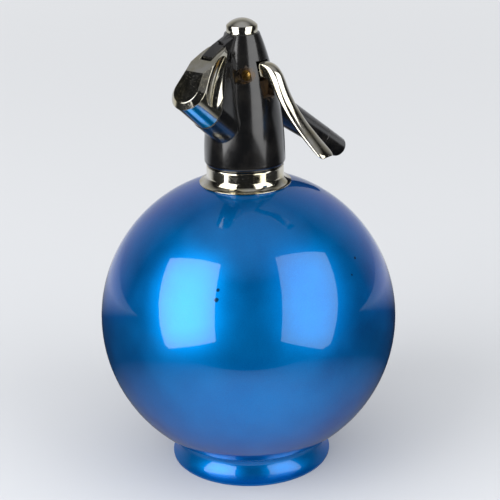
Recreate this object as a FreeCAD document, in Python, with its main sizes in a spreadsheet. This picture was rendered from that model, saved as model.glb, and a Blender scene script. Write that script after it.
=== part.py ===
"""Soda siphon: a blown metal ball on a flared foot, with a screwed-on head.

The head carries a tapered spout, a pivoting lever that lifts the valve stem, a dip tube, and an inclined
holder for a gas bulb, closed by a hinged metal gate.

Frame: millimetres, +Z up, origin on the floor at the centre of the foot, spout along +X, bulb holder along
-X, lever along -Y.
"""
import FreeCAD, Part
import math
import os
import re

import Sketcher

Vector = FreeCAD.Vector
Rotation = FreeCAD.Rotation
Placement = FreeCAD.Placement

# Driving dimensions, in millimetres and degrees; a level that follows others is a formula
SIZES = [
    # ball and neck
    ("ball_radius", 89.0),
    ("ball_stand", 2.05),
    ("ball_centre", "=ball_radius + ball_stand"),
    ("ball_wall", 2.2),
    ("neck_bore", 18.6),
    ("neck_wall", 1.8),
    ("neck_rise", 9.15),
    ("neck_top", "=ball_centre + ball_radius + neck_rise"),
    # foot
    ("foot_radius", 49.05),
    ("foot_edge", 1.3),
    ("foot_wall", 4.2),
    ("foot_waist", 41.6),
    ("foot_ledge", 1.171),
    ("foot_waist_level", "=ball_centre - sqrt(ball_radius ^ 2 - foot_waist ^ 2) - foot_ledge"),
    ("foot_flare", 13.0),
    ("foot_seat_inner", 34.0),
    # collar
    ("collar_flange", 27.0),
    ("collar_edge", 0.9),
    ("collar_radius", 22.6),
    ("collar_fillet", 5.0),
    ("neck_stub", 1.7),
    ("collar_top", "=neck_top - neck_stub"),
    ("collar_round", 1.0),
    # clearances
    ("fit_gap", 0.1),
    ("seat_gap", 0.05),
    ("run_gap", 0.3),
    # head casing
    ("casing_step", 0.3),
    ("casing_foot", "=collar_top + casing_step"),
    ("casing_foot_radius", 22.1),
    ("casing_belly", 23.7),
    ("casing_belly_rise", 3.2),
    ("casing_belly_level", "=casing_foot + casing_belly_rise"),
    ("casing_shoulder", 17.7),
    ("casing_shoulder_rise", 49.2),
    ("casing_shoulder_level", "=casing_foot + casing_shoulder_rise"),
    ("casing_lower_sweep", 173.0),
    ("casing_rim", 10.2),
    ("casing_height", 76.7),
    ("casing_top", "=casing_foot + casing_height"),
    ("casing_upper_sweep", 145.0),
    ("casing_rim_round", 0.8),
    # valve core and the room for it
    ("core_flange", 20.8),
    ("core_flange_rise", 2.1),
    ("core_flange_base", "=neck_top + core_flange_rise"),
    ("core_flange_height", 16.6),
    ("core_flange_top", "=core_flange_base + core_flange_height"),
    ("core_tower", 15.3),
    ("core_tower_height", 30.6),
    ("core_top", "=core_flange_top + core_tower_height"),
    ("plug_depth", 11.2),
    ("plug_base", "=neck_top - plug_depth"),
    ("lever_room", 9.5),
    ("lever_room_lid", 7.5),
    ("lever_room_top", "=casing_top - lever_room_lid"),
    ("cap_bore", 7.7),
    # valve on the head's axis
    ("inlet_radius", 5.0),
    ("inlet_depth", 18.9),
    ("inlet_base", "=core_top - inlet_depth"),
    ("seat_depth", 13.0),
    ("seat_base", "=core_top - seat_depth"),
    ("seat_height", 2.0),
    ("seat_bore", 2.7),
    ("outlet_radius", 6.2),
    ("outlet_roof", 3.5),
    ("outlet_top", "=core_top - outlet_roof"),
    ("gland_radius", 3.2),
    ("gland_depth", 2.8),
    ("gland_base", "=core_top - gland_depth"),
    ("gland_height", 1.9),
    ("stem_radius", 1.5),
    ("stem_rise", 9.3),
    ("stem_top", "=pivot_level + stem_rise"),
    ("stem_disc", 3.6),
    ("stem_disc_height", 1.2),
    ("washer_radius", 4.4),
    ("washer_height", 2.0),
    ("nut_radius", 2.2),
    ("nut_height", 1.9),
    ("lift_collar_radius", 4.0),
    ("lift_collar_height", 2.0),
    ("spring_radius", 3.5),
    ("spring_wire", 0.9),
    # dip tube and passages
    ("dip_offset", 12.4),
    ("dip_radius", 4.0),
    ("dip_bore", 2.8),
    ("dip_end", 9.0),
    ("dip_reach", 11.5),
    ("dip_top", "=plug_base + dip_reach"),
    ("dip_cut", 2.5),
    ("grommet_radius", 5.6),
    ("grommet_height", 3.4),
    ("riser_offset", 12.9),
    ("riser_radius", 1.9),
    ("riser_drop", 13.5),
    ("riser_top", "=core_top - riser_drop"),
    ("inlet_port", 1.5),
    ("gas_port_radius", 1.0),
    ("gas_port_offset", 8.5),
    ("gas_port_length", 12.5),
    # spout
    ("spout_drop", 4.6),
    ("spout_start", "=core_top - spout_drop"),
    ("spout_droop", 32.6),
    ("spout_root_radius", 9.05),
    ("spout_tip_radius", 6.43),
    ("spout_length", 109.3),
    ("spout_root", 12.0),
    ("spout_bore", 3.6),
    ("spout_port_start", 5.0),
    ("nozzle_length", 23.0),
    ("nozzle_bore", 3.2),
    ("nozzle_round", 1.6),
    ("nozzle_step", 0.5),
    ("nozzle_spigot", 4.8),
    ("nozzle_spigot_length", 8.0),
    ("spout_spigot", 5.6),
    ("spout_spigot_start", 11.6),
    ("spout_seal_wire", 0.8),
    # lever
    ("pivot_back", 10.5),
    ("pivot_rise", 4.2),
    ("pivot_level", "=core_top + pivot_rise"),
    ("lever_width", 8.8),
    ("lever_tip_width", 10.6),
    ("lever_eye", 5.0),
    ("lever_arm_half", 2.0),
    ("lever_root", 20.5),
    ("lever_root_rise", 5.7),
    ("lever_root_top", "=pivot_level + lever_root_rise"),
    ("lever_root_round", 5.5),
    ("lever_bend", 25.8),
    ("lever_bend_rise", 1.7),
    ("lever_bend_top", "=pivot_level + lever_bend_rise"),
    ("lever_bend_drop", 5.1),
    ("lever_bend_low", "=pivot_level - lever_bend_drop"),
    ("lever_knee", 32.0),
    ("lever_knee_drop", 11.3),
    ("lever_knee_top", "=pivot_level - lever_knee_drop"),
    ("lever_knee_thick", 3.4),
    ("lever_knee_low", "=lever_knee_top - lever_knee_thick"),
    ("lever_sweep", 45.0),
    ("lever_blade", 44.0),
    ("lever_blade_drop", 26.1),
    ("lever_blade_top", "=pivot_level - lever_blade_drop"),
    ("lever_blade_thick", 4.0),
    ("lever_blade_low", "=lever_blade_top - lever_blade_thick"),
    ("lever_reach", 60.0),
    ("lever_tip_drop", 40.4),
    ("lever_tip_top", "=pivot_level - lever_tip_drop"),
    ("lever_tip_thick", 1.8),
    ("lever_slot_width", 4.4),
    ("lever_slot_start", 4.2),
    ("lever_crown", 1.6),
    ("bush_bore", 1.85),
    ("bush_wall", 1.0),
    ("slot_side_gap", 0.6),
    ("slot_drop", 13.2),
    ("slot_base", "=pivot_level - slot_drop"),
    ("slot_rise", 7.9),
    ("slot_top", "=pivot_level + slot_rise"),
    ("screw_radius", 1.7),
    ("screw_head_radius", 3.1),
    ("screw_head_height", 1.6),
    ("screw_seat", 9.2),
    ("screw_reach", 9.0),
    ("screw_recess_radius", 4.5),
    ("screw_recess_depth", 7.5),
    ("screw_slot_width", 0.9),
    ("screw_slot_depth", 0.7),
    # cap
    ("cap_radius", 8.9),
    ("cap_recess", 0.6),
    ("cap_seat", "=casing_top - cap_recess"),
    ("cap_skirt", 4.6),
    ("cap_dome", 4.0),
    ("cap_hollow", 5.6),
    ("cap_hollow_rise", 4.1),
    ("cap_hollow_top", "=cap_seat + cap_hollow_rise"),
    ("cap_washer_height", 1.2),
    # bulb holder, in its own inclined frame: level along its axis, tail up its back
    ("holder_rise", 12.6),
    ("holder_start", "=casing_foot + holder_rise"),
    ("holder_slope", 40.0),
    ("holder_radius", 11.5),
    ("holder_root", 8.0),
    ("part_level", 42.0),
    ("part_rise", 0.315),
    ("rim_offset", 0.7),
    ("rim_front", 19.4),
    ("rim_width", 1.4),
    ("pin_tail", 28.0),
    ("pin_level", 53.4),
    ("ear_radius", 6.5),
    ("ear_relief", 0.5),
    ("lug_width", 7.8),
    ("lug_radius", 7.0),
    ("web_start", 19.5),
    ("web_rise", 1.5),
    ("web_top", "=casing_top + web_rise"),
    ("web_inner", 11.0),
    ("web_front", 14.2),
    ("gate_radius", 11.2),
    ("gate_ridge", 56.0),
    ("gate_face", 63.0),
    ("gate_bevel", 18.0),
    ("gate_slot_end", 20.4),
    ("scoop_depth", 2.5),
    ("scoop_tail", 8.0),
    ("scoop_level", 50.4),
    ("scoop_long", 24.0),
    ("scoop_wide", 11.0),
    ("scoop_high", 8.5),
    ("pin_radius", 1.5),
    # gas bulb
    ("bulb_radius", 9.3),
    ("bulb_length", 65.5),
    ("bulb_base", 48.0),
    ("bulb_round", 6.0),
    ("bulb_body", 48.0),
    ("bulb_taper", 8.5),
    ("bulb_neck", 4.4),
    ("bulb_gap", 0.4),
    ("gate_swing_gap", 0.9),
    ("pierce_radius", 1.0),
    ("pierce_depth", 3.0),
    ("pierce_seal_height", 1.8),
    ("pin_point", 0.55),
    ("pin_foot", 1.5),
    ("pin_foot_height", 1.7),
    ("pad_radius", 4.0),
    ("pad_height", 2.0),
]

doc = FreeCAD.newDocument("soda_siphon")
sheet = doc.addObject("Spreadsheet::Sheet", "sizes")
for row, (alias, number) in enumerate(SIZES, 1):
    sheet.set("A%d" % row, alias)
    sheet.setAlias("B%d" % row, alias)
for row, (alias, number) in enumerate(SIZES, 1):
    sheet.set("B%d" % row, str(number))
doc.recompute()

ALIASES = {alias for alias, number in SIZES}
nodes = {}


def value(expression):
    """The number that an expression of the sheet's sizes gives."""
    return float(sheet.evalExpression(expression))


def bound(expression):
    """The expression with each size named as a cell of the sheet."""
    return re.sub(r"[a-z_]+", lambda m: "sizes." + m.group() if m.group() in ALIASES else m.group(), expression)


def closed_sketch(body, name, role, corners):
    """Draw a closed outline through corners, each (across, up) or (across, up, bend, radius).

    A corner with a bend starts an arc of that radius that turns left or right to the next corner.
    """
    sketch = body.newObject("Sketcher::SketchObject", name)
    plane = [feature for feature in body.Origin.OriginFeatures if feature.Role == role][0]
    sketch.AttachmentSupport = [(plane, "")]
    sketch.MapMode = "FlatFace"
    points = [Vector(value(corner[0]), value(corner[1]), 0) for corner in corners]
    starts = []
    for index, corner in enumerate(corners):
        here, there = points[index], points[(index + 1) % len(points)]
        if len(corner) == 2:
            edge = sketch.addGeometry(Part.LineSegment(here, there))
            starts.append((edge, 1, 2))
            continue
        radius = value(corner[3])
        chord = there - here
        turn = 1 if corner[2] == "left" else -1
        height = math.sqrt(max(radius ** 2 - chord.Length ** 2 / 4, 0))
        normal = Vector(-chord.y, chord.x, 0) * (turn / chord.Length)
        centre = here + chord * 0.5 + normal * height
        first, last = (here, there) if turn > 0 else (there, here)
        angles = [math.atan2(end.y - centre.y, end.x - centre.x) for end in (first, last)]
        circle = Part.Circle(centre, Vector(0, 0, 1), radius)
        edge = sketch.addGeometry(Part.ArcOfCircle(circle, angles[0], angles[1]))
        starts.append((edge, 1, 2) if turn > 0 else (edge, 2, 1))
        rule = sketch.addConstraint(Sketcher.Constraint("Radius", edge, radius))
        sketch.setExpression("Constraints[%d]" % rule, bound(corner[3]))
    for index, (edge, start, end) in enumerate(starts):
        following = starts[(index + 1) % len(starts)]
        sketch.addConstraint(Sketcher.Constraint("Coincident", edge, end, following[0], following[1]))
    for corner, point, (edge, start, end) in zip(corners, points, starts):
        for kind, number, expression in (("DistanceX", point.x, corner[0]), ("DistanceY", point.y, corner[1])):
            rule = sketch.addConstraint(Sketcher.Constraint(kind, -1, 1, edge, start, number))
            sketch.setExpression("Constraints[%d]" % rule, bound(expression))
    return sketch


def revolved(label, corners, placement=None):
    """A body turned about its own Z axis from an outline of (radius, level) corners."""
    body = doc.addObject("PartDesign::Body", label)
    sketch = closed_sketch(body, label + "_outline", "XZ_Plane", corners)
    turn = body.newObject("PartDesign::Revolution", label + "_turn")
    turn.Profile = sketch
    turn.ReferenceAxis = (sketch, ["V_Axis"])
    turn.Angle = 360
    if placement:
        body.Placement = placement
    return body


def ring(label, inner, outer, base, height, placement=None):
    """A plain washer or sleeve."""
    top = "(%s)+(%s)" % (base, height)
    return revolved(label, [(inner, base), (outer, base), (outer, top), (inner, top)], placement)


def prism(label, role, corners, length, placement=None, start=None, taper=None):
    """A body padded from an outline: both ways from its plane, or one way from a start level."""
    body = doc.addObject("PartDesign::Body", label)
    sketch = closed_sketch(body, label + "_outline", role, corners)
    pad = body.newObject("PartDesign::Pad", label + "_pad")
    pad.Profile = sketch
    pad.setExpression("Length", bound(length))
    if start is None:
        pad.SideType = "Symmetric"
    else:
        sketch.AttachmentOffset = Placement(Vector(0, 0, value(start)), Rotation())
    if taper:
        pad.setExpression("TaperAngle", bound(taper))
    if placement:
        body.Placement = placement
    return body


def cylinder(name, radius, length, at, direction):
    """A round bar or cutter from a point, along a direction."""
    bar = doc.addObject("Part::Cylinder", name)
    bar.setExpression("Radius", bound(radius))
    bar.setExpression("Height", bound(length))
    bar.Placement = Placement(at, Rotation(Vector(0, 0, 1), direction))
    return bar


def block(name, low, high, placement=None):
    """A box between two corners, each a triple of expressions."""
    box = doc.addObject("Part::Box", name)
    for side, low_end, high_end in zip(("Length", "Width", "Height"), low, high):
        box.setExpression(side, bound("(%s)-(%s)" % (high_end, low_end)))
    at = Vector(*[value(part) for part in low])
    box.Placement = Placement(at, Rotation())
    if placement:
        box.Placement = placement.multiply(box.Placement)
    return box


def joined(label, *pieces):
    """One solid from several."""
    fuse = doc.addObject("Part::MultiFuse", label)
    fuse.Shapes = list(pieces)
    fuse.Refine = True
    return fuse


def common(label, first, second):
    """What two solids share."""
    both = doc.addObject("Part::Common", label)
    both.Base = first
    both.Tool = second
    return both


def cut(label, base, *tools):
    """A solid with others taken away from it."""
    result = doc.addObject("Part::Cut", label)
    result.Base = base
    result.Tool = tools[0] if len(tools) == 1 else joined(label + "_cutters", *tools)
    return result


def keep(label, piece):
    """Name a finished sub-part."""
    piece.Label = label
    nodes[label] = piece
    return piece


def teardrop(big, small, tail):
    """Corners of a round end drawn out to a smaller round end at tail."""
    lean = "(((%s)-(%s))/(%s))" % (big, small, tail)
    across = "sqrt(1-%s^2)" % lean
    big_x, big_y = "(%s)*%s" % (big, lean), "(%s)*%s" % (big, across)
    small_x, small_y = "(%s)+(%s)*%s" % (tail, small, lean), "(%s)*%s" % (small, across)
    return [(small_x, "-" + small_y, "left", small), (small_x, small_y), (big_x, big_y, "left", big),
            ("-(%s)" % big, "0", "left", big), (big_x, "-" + big_y)]


# Frames of the inclined pieces: the bulb holder looks up along -X, the spout down along +X
bulb_frame = Placement(Vector(0, 0, value("holder_start")), Rotation(Vector(0, 1, 0), value("holder_slope-90")))
spout_frame = Placement(Vector(0, 0, value("spout_start")), Rotation(Vector(0, 1, 0), value("90+spout_droop")))
SIDEWAYS = Vector(0, 1, 0)

# Sizes that several pieces share
NECK_RADIUS = "(neck_bore+neck_wall)"
BALL_INNER = "(ball_radius-ball_wall)"
ON_BALL = "ball_centre+sqrt((ball_radius+seat_gap)^2-(%s)^2)"
UNDER_BALL = "ball_centre-sqrt((ball_radius+seat_gap)^2-(%s)^2)"
STEM_WASHER_BASE = "(seat_base+seat_height+run_gap)"
STEM_DISC_BASE = "(%s+washer_height)" % STEM_WASHER_BASE
LIFT_COLLAR_BASE = "(pivot_level+lever_arm_half+run_gap)"
SPRING_BASE = "(%s+lift_collar_height)" % LIFT_COLLAR_BASE
BULB_TIP = "(bulb_base-bulb_length)"
PIERCE_FLOOR = "(%s-fit_gap*2-pierce_seal_height)" % BULB_TIP
CORE_ROOM = "(core_tower+fit_gap)"
FLANGE_ROOM = "(core_flange+fit_gap)"
SLOT_HALF = "(lever_width/2+slot_side_gap)"
EYE_BORE = "(bush_bore+bush_wall+seat_gap)"


def spout_radius(reach):
    """Outer radius of the tapered spout at a distance from the head's axis."""
    slope = "(spout_root_radius-spout_tip_radius)/(spout_length-spout_root)"
    return "spout_root_radius-(%s)*((%s)-spout_root)" % (slope, reach)


def make_vessel():
    """The blown ball with its drawn neck."""
    outer_level = "ball_centre+sqrt(ball_radius^2-%s^2)" % NECK_RADIUS
    inner_level = "ball_centre+sqrt(%s^2-neck_bore^2)" % BALL_INNER
    keep("vessel_shell", revolved("vessel_shell", [
        ("0", "ball_centre-ball_radius", "left", "ball_radius"),
        (NECK_RADIUS, outer_level),
        (NECK_RADIUS, "neck_top"),
        ("neck_bore", "neck_top"),
        ("neck_bore", inner_level, "right", BALL_INNER),
        ("0", "ball_centre-%s" % BALL_INNER)]))


def make_foot():
    """The flared foot ring that the ball sits in."""
    keep("foot_ring", revolved("foot_ring", [
        ("foot_radius-foot_wall", "0"),
        ("foot_radius-foot_edge/4", "0"),
        ("foot_radius", "foot_edge/4"),
        ("foot_radius", "foot_edge", "right", "foot_flare"),
        ("foot_waist", "foot_waist_level"),
        ("foot_waist", UNDER_BALL % "foot_waist", "right", "ball_radius+seat_gap"),
        ("foot_seat_inner", UNDER_BALL % "foot_seat_inner"),
        ("foot_waist-foot_wall", "foot_waist_level/2")]))


def make_collar():
    """The bright collar round the neck, flared onto the ball."""
    bore = NECK_RADIUS + "+seat_gap"
    keep("neck_collar", revolved("neck_collar", [
        (bore, ON_BALL % bore, "right", "ball_radius+seat_gap"),
        ("collar_flange", ON_BALL % "collar_flange"),
        ("collar_flange", (ON_BALL % "collar_flange") + "+collar_edge", "right", "collar_fillet"),
        ("collar_radius", (ON_BALL % "collar_flange") + "+collar_edge+collar_fillet*0.9"),
        ("collar_radius", "collar_top-collar_round", "left", "collar_round"),
        ("collar_radius-collar_round", "collar_top"),
        (bore, "collar_top")]))


def make_casing():
    """The moulded head: a swept cone with the bulb boss, the gate's lug and the lever's slot."""
    cone = revolved("casing_cone", [
        ("0", "casing_foot"),
        ("casing_foot_radius", "casing_foot", "left", "casing_belly_level-casing_foot"),
        ("casing_belly", "casing_belly_level", "left", "casing_lower_sweep"),
        ("casing_shoulder", "casing_shoulder_level", "left", "casing_upper_sweep"),
        ("casing_rim", "casing_top-casing_rim_round", "left", "casing_rim_round"),
        ("casing_rim-casing_rim_round", "casing_top"),
        ("0", "casing_top")])
    outline = teardrop("holder_radius", "ear_radius", "pin_tail")
    prism_form = prism("boss_form", "XY_Plane", outline, "pin_level", bulb_frame, start="holder_root")
    back = "-holder_radius*2"
    boss_side = prism("boss_side", "XZ_Plane", [
        (back, "0"),
        ("pin_tail+ear_radius*2", "0"),
        ("pin_tail+ear_radius*2", "part_level+part_rise*(pin_tail+ear_radius*2)"),
        (back, "part_level+part_rise*(%s)" % back)], "holder_radius*4", bulb_frame)
    boss = common("boss", prism_form, boss_side)
    rim_form = prism("rim_form", "XY_Plane",
                     teardrop("holder_radius+rim_offset", "ear_radius+rim_offset", "pin_tail"),
                     "pin_level", bulb_frame, start="holder_root")
    rim_slab = block("rim_slab", ("-rim_front", "-holder_radius*2", "casing_foot"),
                     ("rim_width-rim_front", "holder_radius*2", "casing_shoulder_level+holder_radius"))
    rim = common("boss_rim", rim_form, rim_slab)
    pin = bulb_frame.multVec(Vector(value("pin_tail"), 0, value("pin_level")))
    half = value("lug_width") / 2
    relief = cylinder("ear_relief_cut", "ear_radius+ear_relief", "holder_radius*4",
                      pin - SIDEWAYS * value("holder_radius*2"), SIDEWAYS)
    knuckle = cylinder("lug_knuckle", "lug_radius", "lug_width", pin - SIDEWAYS * half, SIDEWAYS)
    pin_x, pin_z = "(%.6f)" % pin.x, "(%.6f)" % pin.z
    web = prism("lug_web", "XZ_Plane", [
        ("-web_start", "casing_shoulder_level-holder_radius"),
        ("0", "casing_shoulder_level-holder_radius"),
        ("0", "casing_top-casing_rim_round"),
        ("-web_inner", "web_top-casing_rim_round"),
        ("-web_front", "web_top"),
        (pin_x, pin_z + "+lug_radius*0.92"),
        (pin_x, pin_z)], "lug_width")
    shaped = joined("casing_shaped", cone, cut("boss_relieved", joined("boss_rimmed", boss, rim), relief),
                    knuckle, web)
    room = revolved("casing_room", [
        ("0", "casing_foot-run_gap"),
        (FLANGE_ROOM, "casing_foot-run_gap"),
        (FLANGE_ROOM, "core_flange_top+fit_gap"),
        (CORE_ROOM, "core_flange_top+fit_gap"),
        (CORE_ROOM, "core_top+fit_gap"),
        ("lever_room", "core_top+fit_gap"),
        ("lever_room", "lever_room_top"),
        ("cap_bore", "lever_room_top"),
        ("cap_bore", "cap_seat"),
        ("cap_radius+fit_gap", "cap_seat"),
        ("cap_radius+fit_gap", "web_top+run_gap"),
        ("0", "web_top+run_gap")])
    slot = block("lever_slot", ("-" + SLOT_HALF, "-casing_belly*2", "slot_base"), (SLOT_HALF, "0", "slot_top"))
    pivot = Vector(0, -value("pivot_back"), value("pivot_level"))
    along = Vector(1, 0, 0)
    screw_hole = cylinder("screw_hole", "screw_radius+fit_gap", "screw_seat+screw_reach+fit_gap",
                          pivot - along * value("screw_seat"), along)
    recess = cylinder("screw_recess", "screw_recess_radius", "screw_recess_depth",
                      pivot - along * value("screw_seat"), -along)
    bulb_hole = cylinder("bulb_hole", "bulb_radius+bulb_gap", "pin_level+holder_radius",
                         bulb_frame.Base, bulb_frame.Rotation.multVec(Vector(0, 0, 1)))
    spout_hole = revolved("spout_hole", [
        ("0", "spout_root/2"),
        (spout_radius("spout_root/2") + "+seat_gap", "spout_root/2"),
        (spout_radius("spout_length") + "+seat_gap", "spout_length"),
        ("0", "spout_length")], spout_frame)
    pin_hole = cylinder("lug_hole", "pin_radius+fit_gap", "lug_width*2", pin - SIDEWAYS * half * 2, SIDEWAYS)
    keep("head_casing", cut("head_casing", shaped, room, slot, screw_hole, recess, bulb_hole, spout_hole,
                            pin_hole))


def bulb_outline(gap, base_gap):
    """The gas bulb's half outline, grown by a gap, for the bulb and for the room it needs."""
    body, neck = "bulb_radius+" + gap, "bulb_neck+" + gap
    base = "bulb_base+" + base_gap
    shoulder = "bulb_base-bulb_body-" + gap
    round_off = "bulb_round"
    return [("0", BULB_TIP + "-" + gap),
            (neck, BULB_TIP + "-" + gap),
            (neck, shoulder + "-bulb_taper"),
            (body, shoulder),
            (body, base + "-bulb_round", "left", round_off),
            (body + "-bulb_round", base),
            ("0", base)]


def make_core():
    """The metal valve core inside the casing, with its plug into the neck and its passages."""
    plug = "(neck_bore-run_gap)"
    form = revolved("core_form", [
        ("0", "plug_base"),
        (plug, "plug_base"),
        (plug, "core_flange_base"),
        ("core_flange", "core_flange_base"),
        ("core_flange", "core_flange_top"),
        ("core_tower", "core_flange_top"),
        ("core_tower", "core_top"),
        ("0", "core_top")])
    valve_room = revolved("valve_room", [
        ("0", "inlet_base"),
        ("inlet_radius", "inlet_base"),
        ("inlet_radius", "seat_base+seat_height"),
        ("outlet_radius", "seat_base+seat_height"),
        ("outlet_radius", "outlet_top"),
        ("stem_radius+fit_gap", "outlet_top"),
        ("stem_radius+fit_gap", "gland_base"),
        ("gland_radius+seat_gap", "gland_base"),
        ("gland_radius+seat_gap", "gland_base+gland_height"),
        ("stem_radius+fit_gap", "gland_base+gland_height"),
        ("stem_radius+fit_gap", "core_top+run_gap"),
        ("0", "core_top+run_gap")])
    chamber = revolved("bulb_chamber", bulb_outline("bulb_gap", "bulb_length"), bulb_frame)
    floor = revolved("pierce_room", [
        ("0", PIERCE_FLOOR + "-pin_foot_height"),
        ("pin_foot+seat_gap", PIERCE_FLOOR + "-pin_foot_height"),
        ("pin_foot+seat_gap", PIERCE_FLOOR),
        ("bulb_neck+bulb_gap", PIERCE_FLOOR),
        ("bulb_neck+bulb_gap", BULB_TIP),
        ("0", BULB_TIP)], bulb_frame)
    up = Vector(0, 0, 1)
    dip_hole = cylinder("dip_hole", "dip_radius+seat_gap", "dip_top-plug_base+run_gap",
                        Vector(0, value("dip_offset"), value("plug_base-run_gap")), up)
    riser = cylinder("riser", "riser_radius", "riser_top-dip_top+run_gap*2",
                     Vector(0, value("riser_offset"), value("dip_top-run_gap*2")), up)
    inlet = cylinder("inlet", "inlet_port", "riser_offset",
                     Vector(0, value("riser_offset"), value("riser_top-riser_radius*1.5")), -SIDEWAYS)
    gas_port = cylinder("gas_port", "gas_port_radius", "gas_port_length",
                        Vector(value("gas_port_offset"), 0, value("plug_base-run_gap")), up)
    spout_port = cylinder("spout_port", "spout_bore", "spout_length",
                          spout_frame.multVec(Vector(0, 0, value("spout_port_start"))),
                          spout_frame.Rotation.multVec(up))
    spigot_room = cylinder("spigot_room", "spout_spigot+seat_gap", "spout_length",
                           spout_frame.multVec(Vector(0, 0, value("spout_spigot_start-spout_seal_wire*2"))),
                           spout_frame.Rotation.multVec(up))
    eye_half = "lever_width/2+slot_side_gap"
    eye_room = cylinder("eye_room", "lever_eye+run_gap", "(" + eye_half + ")*2",
                        Vector(-value(eye_half), -value("pivot_back"), value("pivot_level")), Vector(1, 0, 0))
    keep("valve_core", cut("valve_core", form, valve_room, chamber, floor, dip_hole, riser, inlet, gas_port,
                           spout_port, spigot_room, eye_room))


def make_seals():
    """Rubber washers and rings inside the head, and the dip tube's grommet."""
    keep("neck_gasket", ring("neck_gasket", "neck_bore", NECK_RADIUS, "neck_top+run_gap",
                             "core_flange_base-neck_top-run_gap"))
    keep("valve_seat", ring("valve_seat", "seat_bore", "inlet_radius-seat_gap", "seat_base", "seat_height"))
    keep("gland_seal", ring("gland_seal", "stem_radius+seat_gap", "gland_radius", "gland_base", "gland_height"))
    keep("pierce_seal", ring("pierce_seal", "pin_foot+fit_gap", "bulb_neck", PIERCE_FLOOR,
                             "pierce_seal_height", bulb_frame))
    keep("spout_seal", ring("spout_seal", "spout_bore", "spout_spigot",
                            "spout_spigot_start-spout_seal_wire*2", "spout_seal_wire*2-seat_gap", spout_frame))
    grommet = ring("dip_grommet", "dip_radius+seat_gap", "grommet_radius", "plug_base-grommet_height",
                   "grommet_height")
    grommet.Placement = Placement(Vector(0, value("dip_offset"), 0), Rotation())
    keep("dip_grommet", grommet)


def make_dip_tube():
    """The long tube from the floor of the ball to the head, with a slanted lower end."""
    pipe = ring("dip_pipe", "dip_bore", "dip_radius", "dip_end", "dip_top-dip_end")
    pipe.Placement = Placement(Vector(0, value("dip_offset"), 0), Rotation())
    slant = prism("dip_slant", "XZ_Plane", [
        ("-dip_radius*2", "dip_end-dip_cut"),
        ("dip_radius*2", "dip_end-dip_cut"),
        ("dip_radius*2", "dip_end+dip_cut*2")], "(dip_offset+dip_radius)*4")
    keep("dip_tube", cut("dip_tube", pipe, slant))


def make_spout():
    """The tapered spout, seated in the core, and the nozzle at its end."""
    joint = "(spout_length-nozzle_length)"
    cone = revolved("spout_cone", [
        ("spout_bore", "spout_root"),
        (spout_radius("spout_root"), "spout_root"),
        (spout_radius(joint), joint),
        ("nozzle_spigot+seat_gap", joint),
        ("nozzle_spigot+seat_gap", joint + "-nozzle_spigot_length"),
        ("spout_bore", joint + "-nozzle_spigot_length")], spout_frame)
    tower = cylinder("core_clearance", "core_tower+seat_gap", "core_top-core_flange_base",
                     Vector(0, 0, value("core_flange_base")), Vector(0, 0, 1))
    spigot = ring("spout_spigot_tube", "spout_bore", "spout_spigot", "spout_spigot_start",
                  "spout_root*2-spout_spigot_start", spout_frame)
    keep("spout_tube", joined("spout_tube", cut("spout_outer", cone, tower), spigot))
    end = "spout_length"
    tip = spout_radius(end)
    keep("spout_nozzle", revolved("spout_nozzle", [
        ("nozzle_bore", joint + "+nozzle_step"),
        ("spout_bore", joint + "+nozzle_step"),
        ("spout_bore", joint + "-nozzle_spigot_length+fit_gap"),
        ("nozzle_spigot", joint + "-nozzle_spigot_length+fit_gap"),
        ("nozzle_spigot", joint + "+fit_gap"),
        (spout_radius(joint + "+fit_gap"), joint + "+fit_gap"),
        (tip, end + "-nozzle_round", "left", "nozzle_round"),
        (tip + "-nozzle_round", end),
        ("nozzle_bore", end)], spout_frame))


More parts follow.
